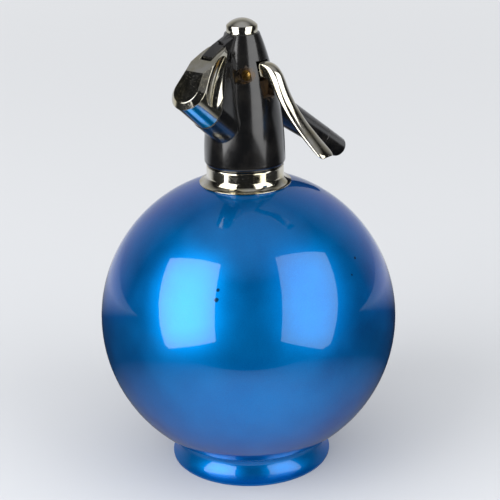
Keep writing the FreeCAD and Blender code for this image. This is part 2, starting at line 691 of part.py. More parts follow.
def make_lever():
    """The bright lever: a crowned blade outside, an eye on the screw, and a fork round the stem."""
    top, low = "pivot_level+lever_arm_half", "pivot_level-lever_arm_half"
    side = prism("lever_side", "YZ_Plane", [
        ("0", low, "left", "lever_arm_half"),
        ("lever_arm_half", "pivot_level", "left", "lever_arm_half"),
        ("0", top),
        ("-pivot_back+lever_eye", top),
        ("-pivot_back-lever_eye/2", "lever_root_top"),
        ("-lever_root", "lever_root_top", "left", "lever_root_round"),
        ("-lever_bend", "lever_bend_top"),
        ("-lever_knee", "lever_knee_top", "right", "lever_sweep"),
        ("-lever_blade", "lever_blade_top"),
        ("-lever_reach", "lever_tip_top"),
        ("-lever_reach+lever_tip_thick/2", "lever_tip_top-lever_tip_thick"),
        ("-lever_blade", "lever_blade_low", "left", "lever_sweep+lever_tip_thick"),
        ("-lever_knee+lever_tip_thick", "lever_knee_low"),
        ("-lever_bend+lever_tip_thick", "lever_bend_low"),
        ("-lever_root", low)], "lever_tip_width")
    plan = prism("lever_plan", "XY_Plane", [
        ("lever_width/2", "lever_eye"),
        ("-lever_width/2", "lever_eye"),
        ("-lever_width/2", "-lever_root"),
        ("-lever_tip_width/2", "-lever_reach"),
        ("lever_tip_width/2", "-lever_reach"),
        ("lever_width/2", "-lever_root")], "casing_top*2.5")
    blade = common("lever_blade", side, plan)
    doc.recompute()
    crown = doc.addObject("Part::Chamfer", "lever_crowned")
    crown.Base = blade
    crown.Edges = [(number, value("lever_crown"), value("lever_crown"))
                   for number, edge in enumerate(blade.Shape.Edges, 1) if is_crown_edge(blade.Shape, edge)]
    pivot = Vector(0, -value("pivot_back"), value("pivot_level"))
    half = value("lever_width") / 2
    along = Vector(1, 0, 0)
    eye = cylinder("lever_eye_boss", "lever_eye", "lever_width", pivot - along * half, along)
    bore = cylinder("lever_bore", EYE_BORE, "lever_width*2", pivot - along * half * 2, along)
    fork = block("lever_fork", ("-lever_slot_width/2", "-lever_slot_start", "slot_base"),
                 ("lever_slot_width/2", "lever_eye", "slot_top"))
    keep("lever_arm", cut("lever_arm", joined("lever_whole", crown, eye), bore, fork))
    bush = doc.addObject("Part::Cut", "lever_bush")
    bush.Base = cylinder("bush_outer", "bush_bore+bush_wall", "lever_width", pivot - along * half, along)
    bush.Tool = cylinder("bush_inner", "bush_bore", "lever_width*2", pivot - along * half * 2, along)
    keep("lever_bush", bush)


def is_crown_edge(blade, edge):
    """Whether an edge runs along an upper side of the blade, outside the head."""
    ends = [vertex.Point for vertex in edge.Vertexes]
    if len(ends) != 2 or max(end.y for end in ends) > -value("lever_root") + value("seat_gap"):
        return False
    if ends[0].x * ends[1].x < 0 or abs(ends[0].y - ends[1].y) < value("lever_tip_thick"):
        return False
    middle = edge.valueAt((edge.FirstParameter + edge.LastParameter) / 2)
    return blade.isInside(Vector(middle.x * 0.9, middle.y, middle.z - value("run_gap")), 1e-4, False)


def make_pivot_screw():
    """The slotted screw that the lever turns on."""
    pivot = Vector(0, -value("pivot_back"), value("pivot_level"))
    frame = Placement(pivot - Vector(value("screw_seat"), 0, 0), Rotation(Vector(0, 1, 0), 90))
    form = revolved("screw_form", [
        ("0", "-screw_head_height"),
        ("screw_head_radius-screw_head_height/3", "-screw_head_height", "left", "screw_head_height"),
        ("screw_head_radius", "-screw_head_height/3"),
        ("screw_head_radius", "0"),
        ("screw_radius", "0"),
        ("screw_radius", "screw_seat+screw_reach"),
        ("0", "screw_seat+screw_reach")], frame)
    slot = block("screw_slot", ("-screw_slot_width/2", "-screw_head_radius*2", "-screw_head_height*2"),
                 ("screw_slot_width/2", "screw_head_radius*2", "screw_slot_depth-screw_head_height"),
                 frame.multiply(Placement(Vector(), Rotation(Vector(0, 0, 1), 35))))
    keep("pivot_screw", cut("pivot_screw", form, slot))


def make_cap():
    """The domed cap, its washer and the spring that it holds down."""
    washer_top = "lever_room_top+cap_washer_height"
    keep("cap_washer", ring("cap_washer", "cap_hollow", "cap_bore-fit_gap", "lever_room_top",
                            "cap_washer_height"))
    dome = "((cap_radius^2+cap_dome^2)/(2*cap_dome))"
    keep("top_cap", revolved("top_cap", [
        ("cap_hollow", washer_top),
        ("cap_bore-fit_gap", washer_top),
        ("cap_bore-fit_gap", "cap_seat"),
        ("cap_radius", "cap_seat"),
        ("cap_radius", "cap_seat+cap_skirt", "left", dome),
        ("0", "cap_seat+cap_skirt+cap_dome"),
        ("0", "cap_hollow_top"),
        ("cap_hollow", "cap_hollow_top")]))
    keep("valve_spring", ring("valve_spring", "spring_radius-spring_wire", "spring_radius", SPRING_BASE,
                              "cap_hollow_top-" + SPRING_BASE))


def make_stem():
    """The valve stem with its washer, nut and the collar that the lever lifts."""
    disc_top = STEM_DISC_BASE + "+stem_disc_height"
    nut_base = STEM_WASHER_BASE + "-nut_height"
    keep("valve_stem", revolved("valve_stem", [
        ("0", nut_base + "-stem_radius"),
        ("stem_radius/2", nut_base + "-stem_radius"),
        ("stem_radius", nut_base + "-stem_radius/2"),
        ("stem_radius", STEM_DISC_BASE),
        ("stem_disc", STEM_DISC_BASE),
        ("stem_disc", disc_top),
        ("stem_radius", disc_top),
        ("stem_radius", "stem_top"),
        ("0", "stem_top")]))
    keep("stem_washer", ring("stem_washer", "stem_radius+seat_gap", "washer_radius", STEM_WASHER_BASE,
                             "washer_height"))
    keep("stem_nut", ring("stem_nut", "stem_radius+seat_gap", "nut_radius", nut_base, "nut_height"))
    keep("lift_collar", ring("lift_collar", "stem_radius+seat_gap", "lift_collar_radius", LIFT_COLLAR_BASE,
                             "lift_collar_height"))


def make_bulb():
    """The gas bulb, pierced at its neck, and the pin that pierces it."""
    form = revolved("bulb_form", bulb_outline("0", "0"), bulb_frame)
    hole = cylinder("bulb_pierced", "pierce_radius", "pierce_depth+fit_gap",
                    bulb_frame.multVec(Vector(0, 0, value(BULB_TIP + "-fit_gap"))),
                    bulb_frame.Rotation.multVec(Vector(0, 0, 1)))
    keep("gas_bulb", cut("gas_bulb", form, hole))
    keep("piercing_pin", revolved("piercing_pin", [
        ("0", PIERCE_FLOOR + "-pin_foot_height"),
        ("pin_foot", PIERCE_FLOOR + "-pin_foot_height"),
        ("pin_foot", PIERCE_FLOOR),
        ("pin_point", PIERCE_FLOOR + "+pin_foot"),
        ("pin_point", BULB_TIP + "+pierce_depth/3"),
        ("0", BULB_TIP + "+pierce_depth*2/3")], bulb_frame))


def make_gate():
    """The hinged metal gate over the bulb's base: bevelled face, finger scoops and two ears on a pin."""
    outline = teardrop("gate_radius", "ear_radius", "pin_tail")
    base_form = prism("gate_base_form", "XY_Plane", outline, "gate_ridge-holder_root", bulb_frame,
                      start="holder_root")
    front_form = prism("gate_front_form", "XY_Plane", outline, "gate_face-gate_ridge", bulb_frame,
                       start="gate_ridge", taper="-gate_bevel")
    back = "-gate_radius*1.5"
    gate_gap = "part_level+run_gap+part_rise*(%s)"
    side = prism("gate_side", "XZ_Plane", [
        (back, gate_gap % back),
        ("pin_tail", gate_gap % "pin_tail"),
        ("pin_tail", "pin_level+ear_radius"),
        ("gate_slot_end", "gate_face"),
        (back, "gate_face")], "gate_radius*4", bulb_frame)
    pin = bulb_frame.multVec(Vector(value("pin_tail"), 0, value("pin_level")))
    reach = SIDEWAYS * value("gate_radius*2")
    ears = cylinder("gate_ears", "ear_radius", "gate_radius*4", pin - reach, SIDEWAYS)
    form = common("gate_form", joined("gate_plan", base_form, front_form), joined("gate_profile", side, ears))
    room = revolved("gate_bulb_room", bulb_outline("gate_swing_gap", "run_gap"), bulb_frame)
    pad_room = cylinder("pad_room", "pad_radius+seat_gap", "pad_height+bulb_round",
                        bulb_frame.multVec(Vector(0, 0, value("bulb_base+run_gap-bulb_round"))),
                        bulb_frame.Rotation.multVec(Vector(0, 0, 1)))
    slot = block("gate_slot", ("gate_slot_end", "-lug_width/2-run_gap", "holder_root"),
                 ("pin_tail+ear_radius*2", "lug_width/2+run_gap", "gate_face+run_gap"), bulb_frame)
    pin_hole = cylinder("gate_pin_hole", "pin_radius+fit_gap", "gate_radius*4", pin - reach, SIDEWAYS)
    scoops = [scoop("scoop_left", 1), scoop("scoop_right", -1)]
    keep("bulb_gate", cut("bulb_gate", form, room, pad_room, slot, pin_hole, *scoops))
    keep("gate_pad", ring("gate_pad", "pin_radius", "pad_radius", "bulb_base+run_gap*2",
                          "pad_height-run_gap", bulb_frame))
    ear_out = "ear_radius-fit_gap*2"
    keep("gate_pin", cylinder("gate_pin", "pin_radius", "(%s)*2" % ear_out, pin - SIDEWAYS * value(ear_out),
                              SIDEWAYS))


def scoop(name, side):
    """One finger scoop: an ellipsoid that follows the gate's narrowing side."""
    lean = value("(gate_radius-ear_radius)/pin_tail")
    dish = doc.addObject("Part::Ellipsoid", name)
    for axis, size in (("Radius1", "scoop_high"), ("Radius2", "scoop_long"), ("Radius3", "scoop_wide")):
        dish.setExpression(axis, bound(size))
    dish.Angle1, dish.Angle2, dish.Angle3 = -90, 90, 360
    flank = value("gate_radius") - lean * value("scoop_tail")
    across = side * (flank + value("scoop_wide-scoop_depth"))
    centre = Vector(value("scoop_tail"), across, value("scoop_level"))
    turn = Rotation(Vector(0, 0, 1), -side * math.degrees(math.asin(lean)))
    dish.Placement = bulb_frame.multiply(Placement(centre, turn))
    return dish


def check_and_write():
    """Stop on any failed feature, then write each sub-part to its own file."""
    doc.recompute()
    failed = [item.Name for item in doc.Objects if {"Invalid", "Error"} & set(item.State)]
    if failed:
        raise RuntimeError("failed features: " + ", ".join(failed))
    os.makedirs("parts", exist_ok=True)
    for label, piece in nodes.items():
        shape = piece.Shape
        if shape.isNull() or not shape.isValid() or not shape.Solids:
            raise RuntimeError("no valid solid in " + label)
    for label, piece in nodes.items():
        piece.Shape.exportStep("parts/%s.step" % label)
        print("%-16s %d solid  %10.1f mm3" % (label, len(piece.Shape.Solids), piece.Shape.Volume))


make_vessel()
make_foot()
make_collar()
make_casing()
make_core()
make_seals()
make_dip_tube()
make_spout()
make_lever()
make_pivot_screw()
make_cap()
make_stem()
make_bulb()
make_gate()
check_and_write()
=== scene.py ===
"""Looks of a soda siphon: a lacquered metal ball on a flared foot, with a black moulded head, a bright
lever and gate, and a drooping spout.

The scene is in metres. The sizes below are millimetres, turned to metres where a piece is made.
The frame stands on the floor at the centre of the foot: spout along +X, bulb holder along -X and lever
along -Y.
"""

import math

import bpy
from mathutils import Matrix, Vector


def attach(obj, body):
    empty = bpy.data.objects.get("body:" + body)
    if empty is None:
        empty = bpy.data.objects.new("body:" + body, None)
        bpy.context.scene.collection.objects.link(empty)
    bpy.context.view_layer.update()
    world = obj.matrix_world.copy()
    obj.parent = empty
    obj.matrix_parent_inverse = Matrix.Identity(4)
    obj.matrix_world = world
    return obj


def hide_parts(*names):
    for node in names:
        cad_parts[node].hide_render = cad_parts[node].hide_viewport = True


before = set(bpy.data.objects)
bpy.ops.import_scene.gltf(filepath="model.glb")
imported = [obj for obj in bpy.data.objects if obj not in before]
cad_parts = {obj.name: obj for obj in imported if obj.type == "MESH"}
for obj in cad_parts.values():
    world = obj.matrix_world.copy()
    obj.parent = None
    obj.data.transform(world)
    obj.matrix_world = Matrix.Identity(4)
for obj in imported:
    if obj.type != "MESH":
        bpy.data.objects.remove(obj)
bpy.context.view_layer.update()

MM = 0.001
# A turned outline starts this far from the axis, and the merging distance, in metres, closes it there
POLE = 1e-4
MERGE = 1e-6

# Ball, neck and foot
BALL_RADIUS = 89.0
BALL_CENTRE = 91.05
BALL_WALL = 2.2
NECK_OUTER = 20.4
NECK_BORE = 18.6
NECK_TOP = 189.2
NECK_LIP = 0.4
SEAT_GAP = 0.1
FOOT_RADIUS = 49.05
FOOT_TREAD = 4.2
FOOT_EDGE = 1.3
FOOT_WAIST = (41.6, 11.2)
FOOT_FLARE = 13.0
FOOT_SEAT = (38.0, 34.0)
FOOT_INSIDE = (37.4, 5.6)
COLLAR_FLANGE = 27.0
COLLAR_LIP = 0.3
COLLAR_RIM = 0.9
COLLAR_WAIST = 5.4
COLLAR_FLARE = 5.0
COLLAR_RADIUS = 22.6
COLLAR_ROUND = 1.0
COLLAR_TOP = 187.5

# Head casing
CASING_FOOT = (22.1, 187.8)
CASING_BELLY = (23.7, 191.0)
CASING_SHOULDER = (17.7, 237.0)
CASING_RIM = (10.2, 264.5)
LOWER_SWEEP = 173.0
UPPER_SWEEP = 145.0
CASING_ROUND = 0.8
# The room inside, as (radius, level) from the bottom up to the cap's thread
ROOM_BASE = 187.0
ROOM_TOP = 268.0
CAP_BORE = 7.7
ROOM = [(20.9, ROOM_BASE), (20.9, 208.0), (15.4, 208.0), (15.4, 238.6), (9.5, 238.6), (9.5, 257.0),
        (CAP_BORE, 257.0)]
CAP_RECESS = 9.05
CAP_RADIUS = 8.9
CAP_SEAT = 263.9
CAP_PLUG = (5.6, 7.6, 258.2)
CAP_SIDE = 4.6
CAP_DOME = 4.0
CAP_EDGE = 0.3

# Lever, its screw and its slot in the casing
PIVOT = (0.0, -10.5, 242.7)
SLOT = (5.0, 229.5, 250.0)
SCREW_SEAT = 9.2
SCREW_RECESS = 4.5
SCREW_HEAD = (3.1, 0.9)
SCREW_CROWN = 1.6
SCREW_SHANK = 1.7
SCREW_END = -9.0
SCREW_SLOT = 0.45
SCREW_TURN = 55
EYE_RADIUS = 5.0
EYE_BORE = 2.9
LEVER_HALF = 4.4
ARM_END = 2.0
ARM_HALF = 2.0
FORK_START = -4.2
FORK_HALF = 2.2

# Bulb holder, in its own inclined frame
HOLDER_START = 200.4
HOLDER_SLOPE = 40.0
HOLDER_RADIUS = 11.5
HOLDER_ROOT = 8.0
HOLDER_LENGTH = 50.0
RIM_STEP = 0.7
RIM_SPAN = (-19.4, -18.0)
BULB_HOLE = 9.7
PART_LEVEL = 42.0
PART_RISE = 0.315
PIN = (28.0, 53.4)
EAR_RADIUS = 6.5
LUG_WIDTH = 7.8
KNUCKLE_RADIUS = 7.0
# The web between the cone and the lug, as (x, level) points
WEB = [(-19.5, 226.0), (-28.5, 257.0), (-23.0, 262.9), (-14.2, 266.0), (-11.0, 265.2), (0.0, 263.5),
       (0.0, 226.0)]
LUG_CREST = (-21.5, 260.3)
LUG_SLOPES = [(-0.467, 0, 0.884), (-0.319, 0, 0.948)]
GATE_RADIUS = 11.2
GATE_RIDGE = 60.2
GATE_FACE = 63.0
GATE_BEVEL = 3.0
GATE_BEVEL_STEPS = 4
GATE_BASE = 30.0
GATE_SLOPES = [((11.0, 63.0), 0.40), ((21.0, 59.6), 0.55)]
GATE_SLOT_END = 20.4
GATE_HOLLOW = (9.9, 20.0, 46.0)
SCOOP_PLACE = (12.0, 52.2)
SCOOP_SIZE = (24.0, 8.5, 11.5)
SCOOP_DEPTH = 2.2
PIN_RADIUS = 1.5
RUN_GAP = 0.3

# Spout, along its own inclined axis
SPOUT_START = 233.9
SPOUT_DROOP = 32.6
SPOUT_ROOT = (12.0, 9.05)
SPOUT_TIP = (109.3, 6.43)
SPOUT_CUT = 17.0
SPOUT_JOINT = 86.3
SPOUT_BORE = 3.3
SPOUT_HOLE = 8.0
JOINT_EDGE = 0.3
JOINT_STEP = 0.25
NOZZLE_BORE = 3.2
NOZZLE_MOUTH = 3.8
NOZZLE_ROUND = 1.6

# Marks of wear, as a place and a radius
CHIPS = [((-69.9, -35.8, 133.0), 1.3), ((-67.2, -35.0, 137.8), 1.0), ((8.6, -72.7, 141.6), 0.8),
         ((-0.6, -77.2, 135.3), 0.7)]
GRIME = [((-SCREW_SEAT, PIVOT[1], PIVOT[2]), 4.6), ((0, -13.5, 230.5), 6.0)]

# Camera, table and lights, in metres and watts
CAMERA_PLACE = (-0.57866, -0.48555, 0.41709)
CAMERA_RIGHT = (0.63479, -0.77240, -0.02084)
CAMERA_UP = (0.28453, 0.20860, 0.93570)
CAMERA_BACK = (-0.71839, -0.59991, 0.35219)
CAMERA_LENS = 97.1
FLOOR_SIZE = 14.0
FLOOR_FRONT = 0.36
# The distance over which the table's painted shade pales, in metres
FLOOR_PAINTED_SHADE_REACH = 3.0
FRONT_SPOT = 0.2
SOFTBOX_DISTANCE = 1.3
LEFT_POWER = 21
RIGHT_POWER = 14
# Corners of each softbox as seen from the ball: top left, top right, bottom left, bottom right
LEFT_SOFTBOX = [(-0.531, 0.602, 0.596), (-0.502, -0.024, 0.865), (-0.919, 0.375, -0.117),
                (-0.952, -0.307, -0.007)]
RIGHT_SOFTBOX = [(-0.080, -0.453, 0.888), (0.437, -0.614, 0.657), (-0.449, -0.894, -0.003),
                 (0.244, -0.943, -0.227)]


def frame_at(level, turn_degrees):
    """An inclined frame whose origin is on the head's axis, turned about Y."""
    return Matrix.Translation((0, 0, level * MM)) @ Matrix.Rotation(math.radians(turn_degrees), 4, "Y")


HOLDER = frame_at(HOLDER_START, HOLDER_SLOPE - 90)
SPOUT = frame_at(SPOUT_START, 90 + SPOUT_DROOP)


# Mesh helpers

def clear_selection():
    """Nothing selected and object mode on."""
    if bpy.context.object and bpy.context.object.mode != "OBJECT":
        bpy.ops.object.mode_set(mode="OBJECT")
    bpy.ops.object.select_all(action="DESELECT")


def pick(piece):
    """Make one piece the only one selected."""
    clear_selection()
    piece.select_set(True)
    bpy.context.view_layer.objects.active = piece


def named(name):
    """Give the active object and its mesh a name, and return it."""
    piece = bpy.context.object
    piece.name = name
    piece.data.name = name
    return piece


def settle(piece, matrix=None):
    """Put a piece in its place and bring that place into its mesh."""
    pick(piece)
    if matrix:
        piece.matrix_world = matrix @ piece.matrix_world
    bpy.ops.object.transform_apply(location=True, rotation=True, scale=True)
    return piece


def tidy(piece, angle=35.0):
    """Merge doubles, point faces outwards and shade smooth up to an angle."""
    pick(piece)
    bpy.ops.object.mode_set(mode="EDIT")
    bpy.ops.mesh.select_all(action="SELECT")
    bpy.ops.mesh.remove_doubles(threshold=MERGE)
    bpy.ops.mesh.normals_make_consistent(inside=False)
    bpy.ops.object.mode_set(mode="OBJECT")
    bpy.ops.object.shade_smooth_by_angle(angle=math.radians(angle))
    return piece


def arc(start, end, radius, turn, steps):
    """Points of an arc after start, up to and with end; turn is 1 for left and -1 for right."""
    chord = Vector(end) - Vector(start)
    height = math.sqrt(max(radius ** 2 - chord.length ** 2 / 4, 0))
    normal = Vector((-chord.y, chord.x)).normalized() * turn
    centre = Vector(start) + chord / 2 + normal * height
    first = math.atan2(start[1] - centre.y, start[0] - centre.x)
    last = math.atan2(end[1] - centre.y, end[0] - centre.x)
    sweep = (last - first) * turn % (2 * math.pi) * turn
    angles = [first + sweep * step / steps for step in range(1, steps + 1)]
    return [(centre.x + radius * math.cos(a), centre.y + radius * math.sin(a)) for a in angles]


def turned(name, profile, steps=128, closed=True, matrix=None):
    """Turn an outline of (radius, level) points by extruding a ring along it."""
    clear_selection()
    here = profile[0]
    bpy.ops.mesh.primitive_circle_add(vertices=steps, radius=here[0] * MM, location=(0, 0, here[1] * MM))
    piece = named(name)
    bpy.ops.object.mode_set(mode="EDIT")
    bpy.ops.mesh.select_all(action="SELECT")
    for there in profile[1:] + ([profile[0]] if closed else []):
        rise = (there[1] - here[1]) * MM
        bpy.ops.mesh.extrude_edges_move(TRANSFORM_OT_translate={"value": (0, 0, rise)})
        ratio = there[0] / here[0]
        bpy.ops.transform.resize(value=(ratio, ratio, 1))
        here = there
    bpy.ops.object.mode_set(mode="OBJECT")
    settle(piece)
    if matrix:
        settle(piece, matrix)
    return tidy(piece)


def cylinder(name, radius, low, high, matrix=None, steps=64):
    """A round bar along Z between two levels."""
    clear_selection()
    bpy.ops.mesh.primitive_cylinder_add(vertices=steps, radius=radius * MM, depth=(high - low) * MM,
                                        location=(0, 0, (low + high) / 2 * MM))
    return settle(named(name), matrix)


def crossbar(name, radius, half, matrix, tail, level, steps=64):
    """A round bar along Y at a tail and level of an inclined frame."""
    place = matrix @ Matrix.Translation((tail * MM, 0, level * MM))
    return cylinder(name, radius, -half, half, place @ Matrix.Rotation(math.radians(90), 4, "X"), steps)


def block(name, low, high, matrix=None):
    """A box between two corners."""
    clear_selection()
    middle = [(a + b) / 2 * MM for a, b in zip(low, high)]
    sides = [(b - a) * MM for a, b in zip(low, high)]
    bpy.ops.mesh.primitive_cube_add(size=1, location=middle, scale=sides)
    return settle(named(name), matrix)


def boolean(piece, tool, operation, solver="EXACT"):
    """Join or cut a piece with another, which is used up."""
    pick(piece)
    change = piece.modifiers.new(operation, "BOOLEAN")
    change.object = tool
    change.operation = operation
    change.solver = solver
    bpy.ops.object.modifier_apply(modifier=change.name)
    bpy.data.objects.remove(tool)
    return piece


def weld(piece, tool):
    """Join a part of the casing to it. Its faces lie close together, and on them the exact solver now and
    then leaves only scraps of the casing, so these are the manifold solver's."""
    return boolean(piece, tool, "UNION", "MANIFOLD")


def carve(piece, tool):
    """Cut a part of the casing, with the solver that weld uses."""
    return boolean(piece, tool, "DIFFERENCE", "MANIFOLD")


def slice_off(piece, point, normal):
    """Cut a piece along a plane, drop the side that the normal points to, and close the cut."""
    pick(piece)
    bpy.ops.object.mode_set(mode="EDIT")
    bpy.ops.mesh.select_all(action="SELECT")
    bpy.ops.mesh.bisect(plane_co=point, plane_no=normal, use_fill=True, clear_outer=True)
    bpy.ops.object.mode_set(mode="OBJECT")
    return piece


def plate(name, corners, half, matrix=None):
    """A flat plate with an outline in the XZ plane, half as thick to each side."""
    clear_selection()
    bpy.ops.mesh.primitive_circle_add(vertices=len(corners), radius=MM, fill_type="NGON")
    piece = named(name)
    for vertex, (x, z) in zip(piece.data.vertices, corners):
        vertex.co = (x * MM, -half * MM, z * MM)
    bpy.ops.object.mode_set(mode="EDIT")
    bpy.ops.mesh.select_all(action="SELECT")
    bpy.ops.mesh.extrude_region_move(TRANSFORM_OT_translate={"value": (0, 2 * half * MM, 0)})
    bpy.ops.object.mode_set(mode="OBJECT")
    return tidy(settle(piece, matrix))


def screw_frame():
    """A frame at the lever's pivot whose Z runs along the screw, out of its head."""
    return Matrix.Translation(Vector(PIVOT) * MM) @ Matrix.Rotation(math.radians(-90), 4, "Y")


def teardrop(name, big, small, tail, low, steps=128):
    """A filled outline at a level: a round end drawn out to a smaller round end."""
    clear_selection()
    bpy.ops.mesh.primitive_circle_add(vertices=steps, radius=big * MM, fill_type="NGON",
                                      location=(0, 0, low * MM))
    piece = settle(named(name))
    lean = (big - small) / tail
    for vertex in piece.data.vertices:
        if vertex.co.x > big * lean * MM:
            vertex.co.x = vertex.co.x * small / big + tail * MM
            vertex.co.y = vertex.co.y * small / big
    return piece


def raise_face(piece, rise, inset=0.0):
    """Extrude the highest face, drawing it in by an inset."""
    pick(piece)
    bpy.ops.object.mode_set(mode="EDIT")
    bpy.ops.mesh.select_mode(type="FACE")
    bpy.ops.mesh.select_all(action="DESELECT")
    bpy.ops.object.mode_set(mode="OBJECT")
    top = max(piece.data.polygons, key=lambda face: face.center.z)
    top.select = True
    bpy.ops.object.mode_set(mode="EDIT")
    if inset:
        bpy.ops.mesh.inset(thickness=inset * MM, depth=rise * MM)
    else:
        bpy.ops.mesh.extrude_region_move(TRANSFORM_OT_translate={"value": (0, 0, rise * MM)})
    bpy.ops.mesh.select_mode(type="VERT")
    bpy.ops.object.mode_set(mode="OBJECT")


# Material helpers

def colour(code):
    """A linear colour from an sRGB hex value."""
    parts = [int(code[i:i + 2], 16) / 255 for i in (1, 3, 5)]
    return tuple(p / 12.92 if p <= 0.04045 else ((p + 0.055) / 1.055) ** 2.4 for p in parts) + (1.0,)


def grey(amount):
    """A linear grey."""
    return (amount, amount, amount, 1.0)


def add(tree, kind, settings=None, links=None, stops=()):
    """Add a node, set its inputs or properties, link other sockets into it, and place its colour stops."""
    node = tree.nodes.new("ShaderNode" + kind)
    for key, amount in (settings or {}).items():
        if isinstance(key, str) and not key[0].isupper():
            setattr(node, key, amount)
        else:
            node.inputs[key].default_value = amount
    for key, socket in (links or {}).items():
        tree.links.new(socket, node.inputs[key])
    for index, (position, shade) in enumerate(stops):
        elements = node.color_ramp.elements
        element = elements[index] if index < len(elements) else elements.new(position)
        element.position = position
        element.color = shade
    return node


def new_material(name):
    """An empty material with its shader and an Object coordinate socket."""
    made = bpy.data.materials.new(name)
    made.use_nodes = True
    shader = made.node_tree.nodes["Principled BSDF"]
    place = add(made.node_tree, "TexCoord").outputs["Object"]
    return made, made.node_tree, shader, place


def grain(size, detail=2.0, roughness=0.5):
    """Noise settings for a grain of a size in millimetres."""
    return {"Scale": 1 / (size * MM), "Detail": detail, "Roughness": roughness}


def wire(tree, shader, sockets):
    """Link sockets into a material's shader."""
    for key, socket in sockets.items():
        tree.links.new(socket, shader.inputs[key])


def near(tree, place, spots):
    """A soft mask around places, each with a radius, with a ragged edge."""
    total = None
    ragged = add(tree, "TexNoise", grain(2.0, 4.0), {"Vector": place}).outputs["Fac"]
    for centre, radius in spots:
        point = [part * MM for part in centre]
        away = add(tree, "VectorMath", {"operation": "DISTANCE", 1: point}, {0: place}).outputs["Value"]
        ratio = add(tree, "Math", {"operation": "DIVIDE", 1: radius * MM}, {0: away}).outputs[0]
        torn = add(tree, "Math", {"operation": "ADD"}, {0: ratio, 1: ragged}).outputs[0]
        # A ramp reads only 0 to 1, so the sum is scaled down until the edge lies inside it
        scaled = add(tree, "Math", {"operation": "MULTIPLY", 1: 0.6}, {0: torn}).outputs[0]
        mask = add(tree, "ValToRGB", links={0: scaled},
                   stops=[(0.75, grey(0.9)), (1.0, grey(0.0))]).outputs[0]
        if total is None:
            total = mask
            continue
        total = add(tree, "MixRGB", {"blend_type": "LIGHTEN", 0: 1.0}, {1: total, 2: mask}).outputs[0]
    return total


def lacquered_metal():
    """Blue candy lacquer over spun aluminium: the metal shines through, under a hard clear coat."""
    made, tree, shader, place = new_material("blue_lacquered_aluminium")
    shader.inputs["Metallic"].default_value = 0.85
    shader.inputs["Coat Weight"].default_value = 1.0
    shader.inputs["Coat Roughness"].default_value = 0.03
    shader.inputs["Coat IOR"].default_value = 1.45
    shader.inputs["Specular Tint"].default_value = colour("#1f5fb0")
    # Metal flake is finer than a pixel, so it is drawn at 0.7 mm to show at all
    flake = add(tree, "TexNoise", grain(0.7, 1.0), {"Vector": place}).outputs["Fac"]
    cloud = add(tree, "TexNoise", grain(45.0, 3.0), {"Vector": place}).outputs["Fac"]
    mix = add(tree, "Math", {"operation": "MULTIPLY_ADD", 1: 0.35}, {0: flake, 2: cloud}).outputs[0]
    clean = add(tree, "ValToRGB", links={0: mix},
                stops=[(0.3, colour("#005ca8")), (0.85, colour("#007ac8"))]).outputs[0]
    chips = near(tree, place, CHIPS)
    base = add(tree, "MixRGB", {2: colour("#0d1a28")}, {0: chips, 1: clean}).outputs[0]
    patch = add(tree, "TexNoise", grain(22.0, 4.0), {"Vector": place}).outputs["Fac"]
    rough = add(tree, "ValToRGB", links={0: patch}, stops=[(0.3, grey(0.33)), (0.75, grey(0.42))]).outputs[0]
    relief = add(tree, "Bump", {"Strength": 0.05, "Distance": 0.02 * MM}, {"Height": flake}).outputs[0]
    wire(tree, shader, {"Base Color": base, "Roughness": rough, "Normal": relief})
    return made


def aged_chrome():
    """Chrome on die-cast zinc, yellowed and pitted by wet hands: dull specks over a still bright plate."""
    made, tree, shader, place = new_material("aged_chrome_plate")
    shader.inputs["Metallic"].default_value = 1.0
    speck = add(tree, "TexNoise", grain(0.8, 4.0, 0.7), {"Vector": place}).outputs["Fac"]
    pits = add(tree, "ValToRGB", links={0: speck}, stops=[(0.63, grey(0.0)), (0.74, grey(0.85))]).outputs[0]
    stain = add(tree, "TexNoise", grain(9.0, 4.0), {"Vector": place}).outputs["Fac"]
    clean = add(tree, "ValToRGB", links={0: stain},
                stops=[(0.35, colour("#dedbd2")), (0.75, colour("#c2b895"))]).outputs[0]
    base = add(tree, "MixRGB", {2: colour("#6d6452")}, {0: pits, 1: clean}).outputs[0]
    wear = add(tree, "TexNoise", grain(3.0, 3.0), {"Vector": place}).outputs["Fac"]
    patch = add(tree, "ValToRGB", links={0: wear}, stops=[(0.35, grey(0.05)), (0.8, grey(0.16))]).outputs[0]
    rough = add(tree, "MixRGB", {2: grey(0.6)}, {0: pits, 1: patch}).outputs[0]
    edge = add(tree, "Bevel", {"samples": 6, "Radius": 0.5 * MM}).outputs[0]
    relief = add(tree, "Bump", {"Strength": 0.25, "Distance": -0.05 * MM},
                 {"Height": pits, "Normal": edge}).outputs[0]
    wire(tree, shader, {"Base Color": base, "Roughness": rough, "Normal": relief})
    return made


